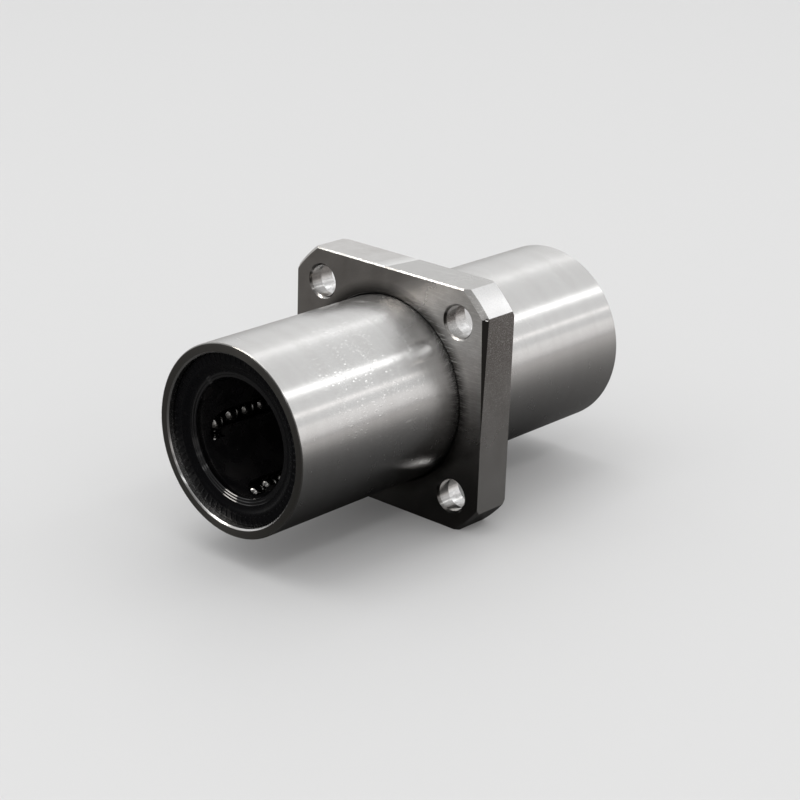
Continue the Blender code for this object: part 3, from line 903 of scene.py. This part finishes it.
def circuit_matrix(side, number):
    """X along the bore, Z out of the racetrack's plane, origin at its centre."""
    centre, normal, _ = turn_frame(side, number)
    along = Vector((1.0, 0.0, 0.0))
    across = normal.cross(along)
    place = Vector((SIDES[side] * CAGE_CENTRE, centre.y, centre.z)) * MM
    matrix = Matrix((along, across, normal)).transposed().to_4x4()
    matrix.translation = place
    return matrix


def retainer_profile(side):
    sign = SIDES[side]
    low, high = sorted((sign * RETAINER_START, sign * RETAINER_END))
    return [
        (low + RETAINER_CHAMFER, RETAINER_OUTER),
        (high - RETAINER_CHAMFER, RETAINER_OUTER),
        (high, RETAINER_OUTER - RETAINER_CHAMFER),
        (high, RETAINER_INNER + RETAINER_EDGE),
        (high - RETAINER_BREAK, RETAINER_INNER + RETAINER_BREAK),
        (high - RETAINER_EDGE, RETAINER_INNER),
        (low + RETAINER_EDGE, RETAINER_INNER),
        (low + RETAINER_BREAK, RETAINER_INNER + RETAINER_BREAK),
        (low, RETAINER_INNER + RETAINER_EDGE),
        (low, RETAINER_OUTER - RETAINER_CHAMFER),
    ]


def make_retainer(side, material):
    """A sleeve with a racetrack for each circuit, and a notch that clears the raceway land."""
    name = f"ball_retainer_{side}"
    mesh = turned_mesh("retainer", retainer_profile(side), RETAINER_STEPS)
    retainer = add_object(f"{name}_moulding", mesh)
    first, last = land_range(side)
    notch_range = (first - NOTCH_PLAY, last + NOTCH_PLAY)
    notch_width = LAND_HALF_WIDTH_DEG + math.degrees(NOTCH_PLAY / LAND_RADIUS)
    radii = (LAND_RADIUS - NOTCH_DEPTH, LAND_ROOT)
    for number in range(1, CIRCUITS + 1):
        boolean(retainer, guide_mesh(), "DIFFERENCE", circuit_matrix(side, number))
        notch = sector_mesh("notch", notch_range, radii, row_angle(number), notch_width)
        boolean(retainer, notch, "DIFFERENCE")
    apply_modifiers(retainer)
    shade(retainer, 25.0)
    finish_piece(retainer, material, "retainer_resin", ROOT, name)


# ---------------------------------------------------------------- seals

RIB_COUNT = 72
RIB_HEIGHT = 0.12
# The height of each step of a rib's pitch, as a share of the rib's height.
RIB_LEVELS = (0.0, 0.0, 0.0, 0.0, 0.0, 0.0, 1.0, 1.0)
RIB_INNER = 12.85
# The funnel inside the ribs, as (depth below the face, radius).
FUNNEL = ((0.02, 12.7), (0.0, 12.55), (0.02, 12.3), (0.18, 12.0), (0.36, 11.75), (0.50, 11.2))
# The steep steps on the lip, which catch the light: their outer radii and their size.
LIP_STEPS = (10.95, 10.47, 10.02)
STEP_WIDTH = 0.11
STEP_DEPTH = 0.13
STEP_RISE = 0.05
LIP_ZONE = 11.0
# Gloss, and lowest and highest roughness.
SKIN_FINISH = (0.10, (0.22, 0.32))
LIP_FINISH = (0.50, (0.07, 0.12))


def seal_profile(rib):
    """The seal's section from the outer rim inwards; rib is 1 on a rib and 0 between ribs."""
    rise = RIB_HEIGHT * rib
    face = SEAL_FRONT - RIB_HEIGHT
    points = [
        (SEAL_BACK, SEAL_RADIUS),
        (face - 0.15, SEAL_RADIUS),
        (face - 0.02, SEAL_RADIUS - 0.06),
        (face + 0.2 * rise, SEAL_RADIUS - 0.2),
        (face + rise, SEAL_RADIUS - 0.4),
        (face + rise - 0.03, RIB_INNER),
    ]
    points += [(face - depth, radius) for depth, radius in FUNNEL]
    root = face - FUNNEL[-1][0]
    for radius in LIP_STEPS:
        points.append((root, radius))
        points.append((root - STEP_DEPTH, radius - STEP_WIDTH))
        root -= STEP_DEPTH - STEP_RISE
    return points + [
        (root - STEP_RISE - 0.10, LIP_RADIUS),
        (root - STEP_RISE - 0.25, LIP_RADIUS + 0.05),
        (SEAL_BACK + 0.15, LIP_RADIUS + 0.3),
        (SEAL_BACK, LIP_RADIUS + 0.6),
    ]


def make_seal(side, skin, lip):
    """A seal of two finishes: a dull skin, and a lip that is wet with oil."""
    sign = SIDES[side]
    levels = len(RIB_LEVELS)
    steps = levels * RIB_COUNT
    rings = []
    for i in range(steps):
        profile = seal_profile(RIB_LEVELS[i % levels])
        rings.append([polar(sign * x, r, 360.0 * i / steps) for x, r in profile])
    seal = add_object(f"end_seal_{side}_moulding", mesh_from_rings("seal", rings, closed=True))
    shade(seal, 28.0)
    finish_piece(seal, skin, "seal_rubber", ROOT, f"end_seal_{side}")
    seal.data.materials.append(lip)
    for face in seal.data.polygons:
        if math.hypot(face.center.y, face.center.z) < LIP_ZONE * MM:
            face.material_index = 1


# ---------------------------------------------------------------- balls


def spheres_mesh(name, places, radius, subdivisions):
    """Spheres in one mesh; places and radius are in millimetres."""
    builder = bmesh.new()
    for place in places:
        matrix = Matrix.Translation(place * MM)
        bmesh.ops.create_icosphere(
            builder, subdivisions=subdivisions, radius=radius * MM, matrix=matrix
        )
    mesh = bpy.data.meshes.new(name)
    builder.to_mesh(mesh)
    builder.free()
    return mesh


def row_ball_places(side, kind, number):
    centre = row_place(side, kind, number)
    offsets = [(i - (ROW_BALLS - 1) / 2) * BALL_PITCH for i in range(ROW_BALLS)]
    return [centre + Vector((offset, 0.0, 0.0)) for offset in offsets]


def turn_ball_places(side, kind, number):
    """Two balls in a half turn, a quarter turn apart."""
    hinge = joint(f"{side}_{kind}_hinge_{number}")
    centre = Vector(hinge["pos_m"]) / MM
    normal = Vector(hinge["axis"]).normalized()
    outward = Vector((1.0 if centre.x > SIDES[side] * CAGE_CENTRE else -1.0, 0.0, 0.0))
    across = normal.cross(outward)
    reach = TURN_RADIUS * math.sqrt(0.5)
    return [centre + (outward + across * way) * reach for way in (-1, 1)]


def make_balls(material):
    finders = {
        "load_row": row_ball_places,
        "return_row": row_ball_places,
        "end_turn": turn_ball_places,
        "middle_turn": turn_ball_places,
    }
    for side in SIDES:
        for kind, finder in finders.items():
            for number in range(1, CIRCUITS + 1):
                node = f"{side}_{kind}_{number}"
                places = finder(side, kind, number)
                mesh = spheres_mesh(node, places, BALL_RADIUS, 4)
                mesh.shade_smooth()
                balls = add_object(f"{node}_balls", mesh)
                finish_piece(balls, material, "ball_steel", node, node)


# ---------------------------------------------------------------- stage, light and camera

FLOOR_Z = cad_low.z
FLOOR_RADIUS = 8.0
FLOOR_TONE = (0.62, 0.62, 0.62)
# In the metal's reflections the floor is painted darker, most of all close to the bushing: painted
# shade.
REFLECTED_TONE = 0.40
REFLECTED_FALL_OFF = 0.135
REFLECTED_TINT = (1.0, 0.96, 0.93)
REFLECTED_SIDE_X = (-0.12, 0.08)
REFLECTED_SIDE_SHARE = (0.25, 1.1)
# In reflections the studio is dim on the -X side: at which X of a direction, and how dim.
REFLECTED_FRONT_X = (-0.75, -0.30)
REFLECTED_FRONT_SHARE = (0.18, 1.0)
# The studio's brightness at heights from 0, straight below, through 0.5, level, to 1.
SKY_STOPS = ((0.40, 0.30), (0.50, 0.55), (0.56, 0.80), (0.66, 1.0), (0.9, 1.0))
SKY_STRENGTH = 0.95


def make_floor():
    """A pale floor, painted darker where it is seen in reflections, most of all close to the bushing:
    painted shade.
    """
    builder = bmesh.new()
    bmesh.ops.create_circle(builder, cap_ends=True, segments=96, radius=FLOOR_RADIUS)
    bmesh.ops.translate(builder, verts=builder.verts, vec=(0.0, 0.0, FLOOR_Z))
    mesh = bpy.data.meshes.new("floor")
    builder.to_mesh(mesh)
    builder.free()
    floor = add_object("floor", mesh)
    s = Shader("floor", FLOOR_TONE, 0.6, 0.0)
    reach = s.add("ShaderNodeVectorMath", operation="LENGTH")
    s.link(s.place, reach.inputs[0])
    square = s.times(reach.outputs["Value"], reach.outputs["Value"])
    share = s.math("DIVIDE", square, s.math("ADD", square, REFLECTED_FALL_OFF**2))
    side = s.range(s.coordinates()[0], *REFLECTED_SIDE_X, *REFLECTED_SIDE_SHARE)
    reflected = s.times(share, side, REFLECTED_TONE)
    grey = s.add("ShaderNodeCombineColor")
    for channel, tint in zip(grey.inputs, REFLECTED_TINT):
        s.link(s.times(reflected, tint), channel)
    path = s.add("ShaderNodeLightPath")
    # Painted shade: glossy rays see a darker floor, darkest near the bushing.
    tone = s.mix(path.outputs["Is Glossy Ray"], (*FLOOR_TONE, 1.0), grey.outputs["Color"])
    floor.data.materials.append(s.finish(tone))


def world_range(tree, value, low, high, to_low, to_high):
    node = tree.nodes.new("ShaderNodeMapRange")
    tree.links.new(value, node.inputs["Value"])
    node.inputs["From Min"].default_value = low
    node.inputs["From Max"].default_value = high
    node.inputs["To Min"].default_value = to_low
    node.inputs["To Max"].default_value = to_high
    return node.outputs["Result"]


def make_world():
    """A grey studio, lighter upwards."""
    world = bpy.data.worlds.new("studio")
    bpy.context.scene.world = world
    world.use_nodes = True
    tree = world.node_tree
    background = tree.nodes["Background"]
    place = tree.nodes.new("ShaderNodeTexCoord")
    split = tree.nodes.new("ShaderNodeSeparateXYZ")
    tree.links.new(place.outputs["Generated"], split.inputs[0])
    ramp = tree.nodes.new("ShaderNodeValToRGB")
    elements = ramp.color_ramp.elements
    elements[0].position = SKY_STOPS[0][0]
    elements[1].position = SKY_STOPS[-1][0]
    for position, _ in SKY_STOPS[1:-1]:
        elements.new(position)
    for element, (_, value) in zip(elements, SKY_STOPS):
        element.color = (value, value, value, 1.0)
    height = world_range(tree, split.outputs[2], -1.0, 1.0, 0.0, 1.0)
    tree.links.new(height, ramp.inputs["Fac"])
    front = world_range(tree, split.outputs[0], *REFLECTED_FRONT_X, *REFLECTED_FRONT_SHARE)
    path = tree.nodes.new("ShaderNodeLightPath")
    share = tree.nodes.new("ShaderNodeMix")
    tree.links.new(path.outputs["Is Glossy Ray"], share.inputs[0])
    share.inputs[2].default_value = 1.0
    tree.links.new(front, share.inputs[3])
    scale = tree.nodes.new("ShaderNodeVectorMath")
    scale.operation = "SCALE"
    tree.links.new(ramp.outputs["Color"], scale.inputs["Vector"])
    tree.links.new(share.outputs[0], scale.inputs["Scale"])
    tree.links.new(scale.outputs["Vector"], background.inputs["Color"])
    background.inputs["Strength"].default_value = SKY_STRENGTH


WHITE = (1.0, 1.0, 1.0)
# Softboxes parallel to the bore, in metres: (name, angle about the bore from +Y towards +Z,
# distance, length, width, middle along the bore, radiance, colour).
STRIPS = (
    ("strip_back", 64.0, 0.9, 4.4, 0.13, 0.2, 0.75, WHITE),
    ("strip_front_high", 123.5, 0.9, 4.4, 0.10, 0.2, 1.8, WHITE),
    ("strip_front_low", 149.0, 0.9, 4.4, 0.07, 0.2, 0.65, (1.0, 0.95, 0.93)),
    ("strip_front_base", 170.0, 0.9, 4.4, 0.26, 0.2, 0.30, (1.0, 0.93, 0.90)),
    ("key", 78.0, 1.4, 1.0, 0.7, -0.2, 1.6, WHITE),
)
# The lamp for the glints on the seal's lip and the steel's edges; it lights nothing dull.
SPARK_WAY = (-0.42, 0.46, 0.79)
SPARK_SIZE = (0.36, 0.20)
SPARK_RADIANCE = 12.0
SPARK_COLOUR = (1.0, 0.95, 0.89)


def softbox(name, size, radiance, colour, long_way, out, place):
    """An area lamp with its long side along long_way, that shines against out."""
    length, width = size
    light = bpy.data.lights.new(name, "AREA")
    light.shape = "RECTANGLE"
    light.size = length
    light.size_y = width
    light.energy = radiance * math.pi * length * width
    light.color = colour
    lamp = bpy.data.objects.new(name, light)
    bpy.context.scene.collection.objects.link(lamp)
    matrix = Matrix((long_way, out.cross(long_way), out)).transposed().to_4x4()
    matrix.translation = place
    lamp.matrix_world = matrix
    return lamp


def make_lights():
    along = Vector((1.0, 0.0, 0.0))
    for name, angle, distance, length, width, middle, radiance, colour in STRIPS:
        out = Vector(polar(0.0, 1.0, angle))
        place = along * middle + out * distance
        softbox(name, (length, width), radiance, colour, along, out, place)
    way = Vector(SPARK_WAY).normalized()
    across = along.cross(way).normalized()
    spark = softbox("spark", SPARK_SIZE, SPARK_RADIANCE, SPARK_COLOUR, across, way, way)
    spark.visible_diffuse = False


# The camera: angles in degrees, distance and offset in metres, lens in millimetres.
CAMERA_AZIMUTH = -48.73
CAMERA_ELEVATION = 20.43
CAMERA_ROLL = 1.91
CAMERA_DISTANCE = 0.3655
CAMERA_OFFSET = (-0.00002, -0.00304)
CAMERA_LENS = 96.9
CLIP_RANGE = (0.01, 50.0)


def make_camera():
    azimuth = math.radians(CAMERA_AZIMUTH)
    elevation = math.radians(CAMERA_ELEVATION)
    roll = math.radians(CAMERA_ROLL)
    flat = math.cos(elevation)
    back = Vector((math.sin(azimuth) * flat, -math.cos(azimuth) * flat, math.sin(elevation)))
    level = (-back).cross(Vector((0.0, 0.0, 1.0))).normalized()
    upright = level.cross(-back)
    right = math.cos(roll) * level + math.sin(roll) * upright
    up = -math.sin(roll) * level + math.cos(roll) * upright
    data = bpy.data.cameras.new("camera")
    data.lens = CAMERA_LENS
    data.clip_start, data.clip_end = CLIP_RANGE
    camera = bpy.data.objects.new("camera", data)
    bpy.context.scene.collection.objects.link(camera)
    matrix = Matrix((right, up, back)).transposed().to_4x4()
    offset = right * CAMERA_OFFSET[0] + up * CAMERA_OFFSET[1]
    matrix.translation = back * CAMERA_DISTANCE + offset
    camera.matrix_world = matrix
    bpy.context.scene.camera = camera


def main():
    make_camera()
    make_floor()
    make_world()
    make_lights()
    bpy.context.scene.view_settings.view_transform = "Standard"

    make_outer_cylinder(ground_steel())
    make_flange(milled_steel())
    resin = retainer_resin()
    rubber = seal_rubber("seal_rubber", *SKIN_FINISH)
    wet_rubber = seal_rubber("seal_lip", *LIP_FINISH)
    ring_material = spring_steel()
    for side in SIDES:
        make_retainer(side, resin)
        make_seal(side, rubber, wet_rubber)
        ring = frame["nodes"][f"end_ring_{side}"]
        ring.material_slots[0].material = ring_material
    make_balls(ball_steel())


main()
